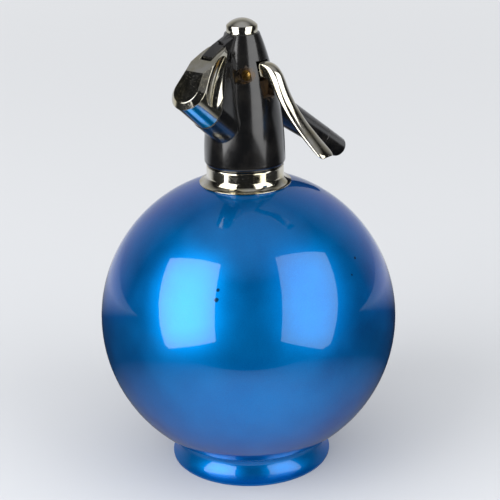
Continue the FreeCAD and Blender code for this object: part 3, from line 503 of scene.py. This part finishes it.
def black_moulding():
    """Glossy black phenolic moulding: deep gloss, softened edges, a breath of dust and brown grime in the
    slot and the screw's recess."""
    made, tree, shader, place = new_material("black_phenolic_moulding")
    shader.inputs["IOR"].default_value = 1.55
    shader.inputs["Coat Weight"].default_value = 0.3
    shader.inputs["Coat Roughness"].default_value = 0.08
    haze = add(tree, "TexNoise", grain(14.0, 5.0, 0.65), {"Vector": place}).outputs["Fac"]
    dust = add(tree, "ValToRGB", links={0: haze}, stops=[(0.45, grey(0.0)), (0.8, grey(0.35))]).outputs[0]
    clean = add(tree, "MixRGB", {1: colour("#0a0a0b"), 2: colour("#35322d")}, {0: dust}).outputs[0]
    grime = near(tree, place, GRIME)
    base = add(tree, "MixRGB", {2: colour("#5c4a36")}, {0: grime, 1: clean}).outputs[0]
    wear = add(tree, "TexNoise", grain(6.0, 4.0), {"Vector": place}).outputs["Fac"]
    patch = add(tree, "ValToRGB", links={0: wear}, stops=[(0.3, grey(0.14)), (0.8, grey(0.26))]).outputs[0]
    rough = add(tree, "MixRGB", {2: grey(0.85)}, {0: grime, 1: patch}).outputs[0]
    skin = add(tree, "TexNoise", grain(1.5, 3.0), {"Vector": place}).outputs["Fac"]
    edge = add(tree, "Bevel", {"samples": 6, "Radius": 0.45 * MM}).outputs[0]
    relief = add(tree, "Bump", {"Strength": 0.06, "Distance": 0.05 * MM},
                 {"Height": skin, "Normal": edge}).outputs[0]
    wire(tree, shader, {"Base Color": base, "Roughness": rough, "Normal": relief})
    return made


def simple(name, code, dark, metallic, roughness, size, depth):
    """A plain finish: two colours in a grain of a size, with relief of a depth, both in millimetres."""
    made, tree, shader, place = new_material(name)
    shader.inputs["Metallic"].default_value = metallic
    wave = add(tree, "TexNoise", grain(size, 4.0), {"Vector": place}).outputs["Fac"]
    base = add(tree, "ValToRGB", links={0: wave},
               stops=[(0.3, colour(dark)), (0.75, colour(code))]).outputs[0]
    rough = add(tree, "ValToRGB", links={0: wave},
                stops=[(0.3, grey(roughness * 0.8)), (0.8, grey(roughness * 1.2))]).outputs[0]
    relief = add(tree, "Bump", {"Strength": 0.2, "Distance": depth * MM}, {"Height": wave}).outputs[0]
    wire(tree, shader, {"Base Color": base, "Roughness": rough, "Normal": relief})
    return made


def dress(piece, finish, body, slot, *replaced):
    """Give a piece its finish and the body it moves with, and hide the nodes it stands for; its slot is not
    used.
    """
    piece.data.materials.clear()
    piece.data.materials.append(finish)
    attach(piece, body)
    if replaced:
        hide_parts(*replaced)
    return piece


# Pieces

def on_ball(radius, gap=0.0):
    """Level of the ball's upper side at a radius."""
    return BALL_CENTRE + math.sqrt((BALL_RADIUS + gap) ** 2 - radius ** 2)


def under_ball(radius, gap=0.0):
    """Level of the ball's under side at a radius."""
    return BALL_CENTRE - math.sqrt((BALL_RADIUS + gap) ** 2 - radius ** 2)


def make_ball():
    """The thin-walled ball and its neck, outside and inside."""
    inner = BALL_RADIUS - BALL_WALL
    start = (POLE, BALL_CENTRE - BALL_RADIUS)
    outside = arc(start, (NECK_OUTER, on_ball(NECK_OUTER)), BALL_RADIUS, 1, 72)
    neck = [(NECK_OUTER, NECK_TOP - NECK_LIP), (NECK_OUTER - NECK_LIP, NECK_TOP),
            (NECK_BORE + NECK_LIP, NECK_TOP), (NECK_BORE, NECK_TOP - NECK_LIP)]
    inner_top = (NECK_BORE, BALL_CENTRE + math.sqrt(inner ** 2 - NECK_BORE ** 2))
    inside = [inner_top] + arc(inner_top, (POLE, BALL_CENTRE - inner), inner, -1, 48)
    return turned("ball", [start] + outside + neck + inside, steps=160, closed=False)


def make_foot():
    """The flared foot with a rolled lower edge and a small step where it meets the ball."""
    flare = arc((FOOT_RADIUS, FOOT_EDGE), FOOT_WAIST, FOOT_FLARE, -1, 20)
    seat = [(radius, under_ball(radius, SEAT_GAP)) for radius in (FOOT_WAIST[0],) + FOOT_SEAT]
    roll = [(FOOT_RADIUS - FOOT_TREAD, 0.0), (FOOT_RADIUS - 0.5, 0.0), (FOOT_RADIUS - 0.1, 0.15),
            (FOOT_RADIUS, FOOT_EDGE * 0.5), (FOOT_RADIUS, FOOT_EDGE)]
    return turned("foot", roll + flare + seat + [FOOT_INSIDE], steps=160)


def make_collar():
    """The plated collar: a thin flange on the ball, a flare, and a rounded top."""
    low = on_ball(COLLAR_FLANGE, SEAT_GAP)
    bore = NECK_OUTER + SEAT_GAP
    flange = [(bore, on_ball(bore, SEAT_GAP)), (COLLAR_FLANGE - COLLAR_LIP, low),
              (COLLAR_FLANGE, low + COLLAR_LIP), (COLLAR_FLANGE, low + COLLAR_RIM)]
    flare = arc(flange[-1], (COLLAR_RADIUS, low + COLLAR_WAIST), COLLAR_FLARE, -1, 14)
    side = (COLLAR_RADIUS, COLLAR_TOP - COLLAR_ROUND)
    top = arc(side, (COLLAR_RADIUS - COLLAR_ROUND, COLLAR_TOP), COLLAR_ROUND, 1, 6)
    return turned("collar", flange + flare + [side] + top + [(bore, COLLAR_TOP)])


def make_boss():
    """The bulb holder's boss: a teardrop bar with a thin rim near its root, cut away round the gate's pin."""
    normal = HOLDER.to_3x3() @ Vector((-PART_RISE, 0, 1)).normalized()
    point = HOLDER @ Vector((0, 0, PART_LEVEL * MM))
    boss = teardrop("boss", HOLDER_RADIUS, EAR_RADIUS, PIN[0], HOLDER_ROOT)
    raise_face(boss, HOLDER_LENGTH)
    slice_off(settle(boss, HOLDER), point, normal)
    tidy(boss)
    rim = teardrop("rim", HOLDER_RADIUS + RIM_STEP, EAR_RADIUS + RIM_STEP, PIN[0], HOLDER_ROOT)
    raise_face(rim, HOLDER_LENGTH)
    settle(rim, HOLDER)
    slice_off(rim, (RIM_SPAN[0] * MM, 0, 0), (-1, 0, 0))
    slice_off(rim, (RIM_SPAN[1] * MM, 0, 0), (1, 0, 0))
    tidy(rim)
    weld(boss, rim)
    return carve(boss, crossbar("relief", EAR_RADIUS + 0.5, 25.0, HOLDER, PIN[0], PIN[1]))


def make_lug():
    """The web that runs down from the cone, with the knuckle that carries the gate's pin."""
    # A hair narrower than its knuckle, so that no two faces lie on one plane
    web = plate("web", WEB, LUG_WIDTH / 2 - 0.02)
    weld(web, crossbar("knuckle", KNUCKLE_RADIUS, LUG_WIDTH / 2, HOLDER, PIN[0], PIN[1]))
    for normal in LUG_SLOPES:
        slice_off(web, (LUG_CREST[0] * MM, 0, LUG_CREST[1] * MM), normal)
    return tidy(web)


def make_casing():
    """The black head: turned cone, boss and lug, then the room inside and the openings."""
    belly = arc(CASING_FOOT, CASING_BELLY, CASING_BELLY[1] - CASING_FOOT[1], 1, 8)
    lower = arc(CASING_BELLY, CASING_SHOULDER, LOWER_SWEEP, 1, 34)
    rim = (CASING_RIM[0], CASING_RIM[1] - CASING_ROUND)
    upper = arc(CASING_SHOULDER, rim, UPPER_SWEEP, 1, 22)
    top = arc(rim, (CASING_RIM[0] - CASING_ROUND, CASING_RIM[1]), CASING_ROUND, 1, 5)
    outline = [(POLE, CASING_FOOT[1]), CASING_FOOT] + belly + lower + upper + top + [(POLE, CASING_RIM[1])]
    casing = turned("casing", outline, closed=False)
    weld(casing, make_boss())
    weld(casing, make_lug())
    recess = [(CAP_BORE, CAP_SEAT), (CAP_RECESS, CAP_SEAT), (CAP_RECESS, ROOM_TOP), (POLE, ROOM_TOP)]
    carve(casing, turned("room", [(POLE, ROOM_BASE)] + ROOM + recess, closed=False))
    carve(casing, cylinder("bulb_hole", BULB_HOLE, 0.0, 65.0, HOLDER))
    half, low, high = SLOT
    carve(casing, block("slot", (-half, -50, low), (half, 0, high)))
    carve(casing, cylinder("recess", SCREW_RECESS, SCREW_SEAT, SCREW_SEAT + 7.5, screw_frame()))
    carve(casing, cylinder("spout_hole", SPOUT_HOLE, 8.0, 60.0, SPOUT))
    return tidy(casing, 28.0)


def spout_radius(reach):
    """Outer radius of the spout at a distance along it."""
    (start, wide), (end, narrow) = SPOUT_ROOT, SPOUT_TIP
    return wide + (narrow - wide) * (reach - start) / (end - start)


def make_spout():
    """The tapered spout from the casing to the joint of its nozzle."""
    outline = [(SPOUT_BORE, SPOUT_CUT), (spout_radius(SPOUT_CUT), SPOUT_CUT),
               (spout_radius(SPOUT_JOINT - JOINT_EDGE), SPOUT_JOINT - JOINT_EDGE),
               (spout_radius(SPOUT_JOINT) - JOINT_STEP, SPOUT_JOINT), (SPOUT_BORE, SPOUT_JOINT)]
    return turned("spout", outline, matrix=SPOUT)


def make_nozzle():
    """The end piece with its rounded rim and mouth."""
    reach, radius = SPOUT_TIP
    start = SPOUT_JOINT + SEAT_GAP
    round_in = NOZZLE_MOUTH - NOZZLE_BORE
    outline = [(NOZZLE_BORE, start), (spout_radius(start) - JOINT_STEP, start),
               (spout_radius(start + JOINT_EDGE), start + JOINT_EDGE), (radius, reach - NOZZLE_ROUND)]
    rim = arc(outline[-1], (radius - NOZZLE_ROUND, reach), NOZZLE_ROUND, 1, 8)
    mouth = arc((NOZZLE_MOUTH, reach), (NOZZLE_BORE, reach - round_in), round_in, 1, 5)
    return turned("nozzle", outline + rim + [(NOZZLE_MOUTH, reach)] + mouth, matrix=SPOUT)


def make_cap():
    """The domed cap on top of the head."""
    side = CAP_SEAT + CAP_SIDE
    bore, plug, low = CAP_PLUG
    shoulder = (CAP_RADIUS - CAP_EDGE, side + 0.25)
    dome_radius = (CAP_RADIUS ** 2 + CAP_DOME ** 2) / (2 * CAP_DOME)
    dome = arc(shoulder, (POLE, side + CAP_DOME), dome_radius, 1, 18)
    outline = [(POLE, ROOM_TOP), (bore, ROOM_TOP), (bore, low), (plug, low), (plug, CAP_SEAT),
               (CAP_RADIUS - CAP_EDGE, CAP_SEAT), (CAP_RADIUS, CAP_SEAT + CAP_EDGE),
               (CAP_RADIUS, side - 0.2), shoulder]
    return turned("cap", outline + dome, closed=False)


def make_screw():
    """The slotted head and shank of the lever's screw."""
    place = screw_frame()
    radius, edge = SCREW_HEAD
    side = (radius, SCREW_SEAT + edge)
    crown = arc(side, (POLE, SCREW_SEAT + SCREW_CROWN), 8.0, 1, 8)
    outline = [(POLE, SCREW_END), (SCREW_SHANK, SCREW_END), (SCREW_SHANK, SCREW_SEAT),
               (radius, SCREW_SEAT), side]
    screw = turned("screw", outline + crown, steps=48, closed=False, matrix=place)
    turn = place @ Matrix.Rotation(math.radians(SCREW_TURN), 4, "Z")
    slot = block("slot", (-SCREW_SLOT, -4, SCREW_SEAT + 0.8), (SCREW_SLOT, 4, SCREW_SEAT + 3), turn)
    return tidy(boolean(screw, slot, "DIFFERENCE"))


LEVER_STATIONS = [
    # y, level, half width, half thickness, lean in degrees
    (-12.5, 245.0, 4.4, 4.1, 0),
    (-17.0, 245.0, 4.4, 4.1, 0),
    (-21.2, 244.5, 4.4, 3.9, 14),
    (-24.6, 242.0, 4.4, 3.4, 42),
    (-26.8, 238.4, 4.4, 2.7, 58),
    (-29.5, 233.2, 4.5, 2.2, 62),
    (-32.9, 227.8, 4.7, 2.0, 56),
    (-38.2, 220.9, 4.95, 1.85, 49),
    (-44.5, 214.5, 5.2, 1.75, 45),
    (-51.3, 208.6, 5.6, 1.55, 43),
    (-56.8, 204.1, 5.9, 1.3, 43),
    (-59.0, 202.3, 5.7, 1.0, 43),
    (-60.2, 201.3, 4.6, 0.6, 43),
]


def lever_section(station):
    """The blade's section at a station, as eight points from its under side round over its crown."""
    y, level, half, thick, lean = station
    turn = math.radians(lean)
    # The root is square in section, and the blade is crowned
    side, shoulder = (0.5, 0.95) if lean < 20 else (-0.1, 0.7)
    section = [(-1, -0.9), (1, -0.9), (1, side), (0.78, shoulder), (0.3, 1.15), (-0.3, 1.15),
               (-0.78, shoulder), (-1, side)]
    points = []
    for across, up in section:
        rise = up * thick
        points.append(Vector((across * half, y + rise * -math.sin(turn), level + rise * math.cos(turn))) * MM)
    return points


def make_blade():
    """The crowned blade: its section is extruded from station to station, then rounded."""
    clear_selection()
    bpy.ops.mesh.primitive_circle_add(vertices=8, radius=MM, fill_type="NGON")
    blade = named("lever")
    for vertex, place in zip(blade.data.vertices, lever_section(LEVER_STATIONS[0])):
        vertex.co = place
    for station in LEVER_STATIONS[1:]:
        pick(blade)
        bpy.ops.object.mode_set(mode="EDIT")
        bpy.ops.mesh.extrude_region_move(TRANSFORM_OT_translate={"value": (0, -MM, 0)})
        bpy.ops.object.mode_set(mode="OBJECT")
        chosen = [vertex for vertex in blade.data.vertices if vertex.select]
        for vertex, place in zip(chosen, lever_section(station)):
            vertex.co = place
    tidy(blade)
    bevel = blade.modifiers.new("edges", "BEVEL")
    bevel.width = 0.35 * MM
    bevel.segments = 2
    bevel.limit_method = "ANGLE"
    bevel.angle_limit = math.radians(35)
    smooth = blade.modifiers.new("smooth", "SUBSURF")
    smooth.levels = smooth.render_levels = 2
    for change in ("edges", "smooth"):
        bpy.ops.object.modifier_apply(modifier=change)
    return blade


def make_lever():
    """The blade with the eye on its screw, the arm that reaches in, and the fork round the valve's stem."""
    blade = make_blade()
    place = Matrix.Translation(Vector(PIVOT) * MM) @ Matrix.Rotation(math.radians(90), 4, "Y")
    eye = cylinder("eye", EYE_RADIUS, -LEVER_HALF, LEVER_HALF, place)
    low = (-LEVER_HALF, PIVOT[1], PIVOT[2] - ARM_HALF)
    high = (LEVER_HALF, ARM_END, PIVOT[2] + ARM_HALF)
    boolean(eye, block("arm", low, high), "UNION")
    boolean(eye, cylinder("bore", EYE_BORE, -9, 9, place), "DIFFERENCE")
    boolean(eye, block("fork", (-FORK_HALF, FORK_START, 230), (FORK_HALF, 6, 250)), "DIFFERENCE")
    return tidy(boolean(blade, eye, "UNION"), 30.0)


def make_scoop(side):
    """The rounded cutter for the finger scoop in one side of the gate."""
    clear_selection()
    bpy.ops.mesh.primitive_uv_sphere_add(segments=64, ring_count=40, radius=MM)
    scoop = named("scoop")
    scoop.scale = SCOOP_SIZE
    lean = math.asin((GATE_RADIUS - EAR_RADIUS) / PIN[0])
    tail, level = SCOOP_PLACE
    flank = GATE_RADIUS - tail * math.tan(lean) - SCOOP_DEPTH
    place = Matrix.Translation(Vector((tail, side * (flank + SCOOP_SIZE[1]), level)) * MM)
    settle(scoop)
    return settle(scoop, HOLDER @ place @ Matrix.Rotation(-side * lean, 4, "Z"))


def make_gate():
    """The plated gate: a bevelled face that falls away to the pin, a scoop in each side and two ears."""
    gate = teardrop("gate", GATE_RADIUS, EAR_RADIUS, PIN[0], GATE_BASE)
    raise_face(gate, GATE_RIDGE - GATE_BASE)
    for step in range(GATE_BEVEL_STEPS):
        raise_face(gate, (GATE_FACE - GATE_RIDGE) / GATE_BEVEL_STEPS, GATE_BEVEL / GATE_BEVEL_STEPS)
    settle(gate, HOLDER)
    tidy(gate)
    turn = HOLDER.to_3x3()
    point = HOLDER @ Vector((0, 0, (PART_LEVEL + RUN_GAP) * MM))
    slice_off(gate, point, turn @ Vector((PART_RISE, 0, -1)))
    for (tail, level), slope in GATE_SLOPES:
        slice_off(gate, HOLDER @ Vector((tail * MM, 0, level * MM)), turn @ Vector((slope, 0, 1)))
    tidy(gate)
    for side in (1, -1):
        boolean(gate, make_scoop(side), "DIFFERENCE")
    radius, start, end = GATE_HOLLOW
    boolean(gate, cylinder("hollow", radius, start, end, HOLDER), "DIFFERENCE")
    low = (GATE_SLOT_END, -LUG_WIDTH / 2 - RUN_GAP, 20.0)
    high = (PIN[0] + 20.0, LUG_WIDTH / 2 + RUN_GAP, 80.0)
    boolean(gate, block("lug_slot", low, high, HOLDER), "DIFFERENCE")
    # Past the pin, only the round of the ears is kept
    ears = crossbar("ears", EAR_RADIUS, 20.0, HOLDER, PIN[0], PIN[1])
    body_side = block("side", (-20.0, -20.0, 20.0), (PIN[0], 20.0, 80.0), HOLDER)
    boolean(ears, body_side, "UNION")
    boolean(gate, ears, "INTERSECT")
    return tidy(gate, 16.0)


def make_pin():
    """The gate's pin, with slightly domed ends."""
    pin = crossbar("gate_hinge_pin", PIN_RADIUS, EAR_RADIUS - 0.2, HOLDER, PIN[0], PIN[1], 40)
    bevel = pin.modifiers.new("ends", "BEVEL")
    bevel.width = 0.4 * MM
    bevel.segments = 3
    bevel.limit_method = "ANGLE"
    pick(pin)
    bpy.ops.object.modifier_apply(modifier="ends")
    return tidy(pin)


# Surroundings

def make_stage():
    """A pale table top whose front edge is near the object, and which runs on into the background."""
    clear_selection()
    bpy.ops.mesh.primitive_plane_add(size=FLOOR_SIZE)
    floor = named("floor")
    facing = math.atan2(CAMERA_BACK[1], CAMERA_BACK[0])
    shift = Matrix.Translation((FLOOR_FRONT - FLOOR_SIZE / 2, 0, 0))
    settle(floor, Matrix.Rotation(facing, 4, "Z") @ shift)
    # Matt printing paper: pale, with no sheen
    made, tree, shader, place = new_material("pale_paper")
    # Painted shade and light: the table's colour is painted darker round the object's foot and paler with
    # distance, against the fall of the lamps' light
    away = add(tree, "VectorMath", {"operation": "LENGTH"}, {0: place}).outputs["Value"]
    reach = add(tree, "Math", {"operation": "DIVIDE", 1: FLOOR_PAINTED_SHADE_REACH}, {0: away}).outputs[0]
    shade = add(tree, "ValToRGB", links={0: reach},
                stops=[(0.03, colour("#bfc0c2")), (0.8, colour("#ebebeb"))]).outputs[0]
    # In reflections the table is bright in front, dark at the sides and pale towards the backdrop
    forward = [-CAMERA_BACK[0], -CAMERA_BACK[1], 0.0]
    depth = add(tree, "VectorMath", {"operation": "DOT_PRODUCT", 1: forward}, {0: place}).outputs["Value"]
    rear = add(tree, "ValToRGB", links={0: depth},
               stops=[(0.2, colour("#1c1d1e")), (0.42, colour("#c9cacc"))]).outputs[0]
    spot = [part * -FRONT_SPOT for part in forward]
    gap = add(tree, "VectorMath", {"operation": "DISTANCE", 1: spot}, {0: place}).outputs["Value"]
    front = add(tree, "ValToRGB", links={0: gap},
                stops=[(0.08, colour("#bdbec0")), (0.3, colour("#1c1d1e"))]).outputs[0]
    both = add(tree, "MixRGB", {"blend_type": "LIGHTEN", 0: 1.0}, {1: rear, 2: front}).outputs[0]
    path = add(tree, "LightPath").outputs["Is Glossy Ray"]
    base = add(tree, "MixRGB", links={0: path, 1: shade, 2: both}).outputs[0]
    shader.inputs["Roughness"].default_value = 0.9
    shader.inputs["Specular IOR Level"].default_value = 0.1
    wire(tree, shader, {"Base Color": base})
    floor.data.materials.append(made)


def softbox(name, directions, distance, power):
    """A softbox seen from the ball in four directions: top left, top right, bottom left, bottom right."""
    top_left, top_right, low_left, low_right = [Vector(direction) for direction in directions]
    middle = (top_left + top_right + low_left + low_right) / 4
    across = (top_left + low_left - top_right - low_right) / 2
    upright = (top_left + top_right - low_left - low_right) / 2
    facing = middle.normalized()
    across = (across - facing * across.dot(facing)).normalized() * across.length
    height = facing.cross(across.normalized())
    light = bpy.data.lights.new(name, "AREA")
    light.shape = "RECTANGLE"
    light.size = across.length / middle.length * distance
    light.size_y = upright.length / middle.length * distance
    light.energy = power
    holder = bpy.data.objects.new(name, light)
    bpy.context.collection.objects.link(holder)
    turn = Matrix((across.normalized(), height, facing)).transposed().to_4x4()
    holder.matrix_world = Matrix.Translation(facing * distance + Vector((0, 0, BALL_CENTRE * MM))) @ turn


def make_lights():
    """Two tall softboxes, and a room that mirrors as dark round the camera and pale towards the backdrop."""
    softbox("left_softbox", LEFT_SOFTBOX, SOFTBOX_DISTANCE, LEFT_POWER)
    softbox("right_softbox", RIGHT_SOFTBOX, SOFTBOX_DISTANCE, RIGHT_POWER)
    world = bpy.data.worlds.new("pale_room")
    bpy.context.scene.world = world
    world.use_nodes = True
    tree = world.node_tree
    fill = tree.nodes["Background"]
    fill.inputs["Color"].default_value = colour("#e9ebee")
    fill.inputs["Strength"].default_value = 1.15
    place = add(tree, "TexCoord").outputs["Generated"]
    behind = [-CAMERA_BACK[0], -CAMERA_BACK[1], 0.0]
    facing = add(tree, "VectorMath", {"operation": "DOT_PRODUCT", 1: behind}, {0: place}).outputs["Value"]
    walls = add(tree, "ValToRGB", links={0: facing},
                stops=[(0.3, colour("#1d1e1f")), (0.85, colour("#c4c5c8"))]).outputs[0]
    rise = add(tree, "SeparateXYZ", links={0: place}).outputs["Z"]
    ceiling = add(tree, "ValToRGB", links={0: rise},
                  stops=[(0.7, grey(0.0)), (0.95, colour("#a6a7aa"))]).outputs[0]
    room = add(tree, "MixRGB", {"blend_type": "LIGHTEN", 0: 1.0}, {1: walls, 2: ceiling}).outputs[0]
    mirrored = add(tree, "Background", links={"Color": room}).outputs[0]
    backdrop = add(tree, "Background", {"Color": colour("#e7e7e7"), "Strength": 1.0}).outputs[0]
    path = add(tree, "LightPath").outputs
    unseen = add(tree, "MixShader", links={0: path["Is Glossy Ray"], 1: fill.outputs[0], 2: mirrored})
    seen = add(tree, "MixShader", links={0: path["Is Camera Ray"], 1: unseen.outputs[0], 2: backdrop})
    tree.links.new(seen.outputs[0], tree.nodes["World Output"].inputs["Surface"])


def make_camera():
    """The photograph's viewpoint."""
    lens = bpy.data.cameras.new("camera")
    lens.lens = CAMERA_LENS
    lens.sensor_width = 36.0
    lens.clip_start = 0.01
    camera = bpy.data.objects.new("camera", lens)
    bpy.context.collection.objects.link(camera)
    turn = Matrix((CAMERA_RIGHT, CAMERA_UP, CAMERA_BACK)).transposed().to_4x4()
    camera.matrix_world = Matrix.Translation(CAMERA_PLACE) @ turn
    bpy.context.scene.camera = camera


def finish_node(finish, *names):
    """Give CAD nodes a finish."""
    for name in names:
        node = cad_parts[name]
        node.data.materials.clear()
        node.data.materials.append(finish)


make_camera()
make_stage()
make_lights()
bpy.context.scene.view_settings.view_transform = "Standard"

lacquer = lacquered_metal()
chrome = aged_chrome()
moulding = black_moulding()
# Brass turned on a lathe and gone a little brown: warm and half bright
brass = simple("turned_brass", "#b9944f", "#8a6c3a", 1.0, 0.36, 1.2, 0.02)
# Brass that has stood in water: a dull brown skin that hides most of the metal
old_brass = simple("stained_brass", "#6b4f2c", "#33261a", 0.5, 0.7, 1.2, 0.04)
# Drawn steel wiped with fine emery: grey, even and satin
steel = simple("satin_steel", "#b9bbbd", "#9a9c9f", 1.0, 0.32, 1.0, 0.02)
# Moulded rubber: matt and near black
rubber = simple("black_rubber", "#1b1b1c", "#111112", 0.0, 0.7, 2.0, 0.05)
# Extruded polythene tube: milky white and half glossy
tube_plastic = simple("white_polythene", "#dcdcd4", "#cfcfc4", 0.0, 0.4, 5.0, 0.02)

dress(make_ball(), lacquer, "vessel", "lacquered_ball", "vessel_shell")
dress(make_foot(), lacquer, "vessel", "lacquered_ball", "foot_ring")
dress(make_collar(), chrome, "vessel", "chrome_trim", "neck_collar")
dress(make_casing(), moulding, "head", "moulded_head", "head_casing")
dress(make_spout(), moulding, "head", "moulded_head", "spout_tube")
dress(make_nozzle(), moulding, "head", "moulded_head", "spout_nozzle")
dress(make_cap(), chrome, "head", "chrome_trim", "top_cap")
dress(make_screw(), brass, "head", "brass_fitting", "pivot_screw")
dress(make_pin(), steel, "head", "steel_part", "gate_pin")
dress(make_lever(), chrome, "lever", "chrome_trim", "lever_arm")
dress(make_gate(), chrome, "gate", "chrome_trim", "bulb_gate")
finish_node(brass, "lever_bush", "stem_nut", "lift_collar")
finish_node(old_brass, "valve_core")
finish_node(steel, "valve_stem", "gas_bulb", "piercing_pin", "valve_spring")
finish_node(rubber, "neck_gasket", "valve_seat", "gland_seal", "pierce_seal", "spout_seal", "dip_grommet",
            "cap_washer", "stem_washer", "gate_pad")
finish_node(tube_plastic, "dip_tube")
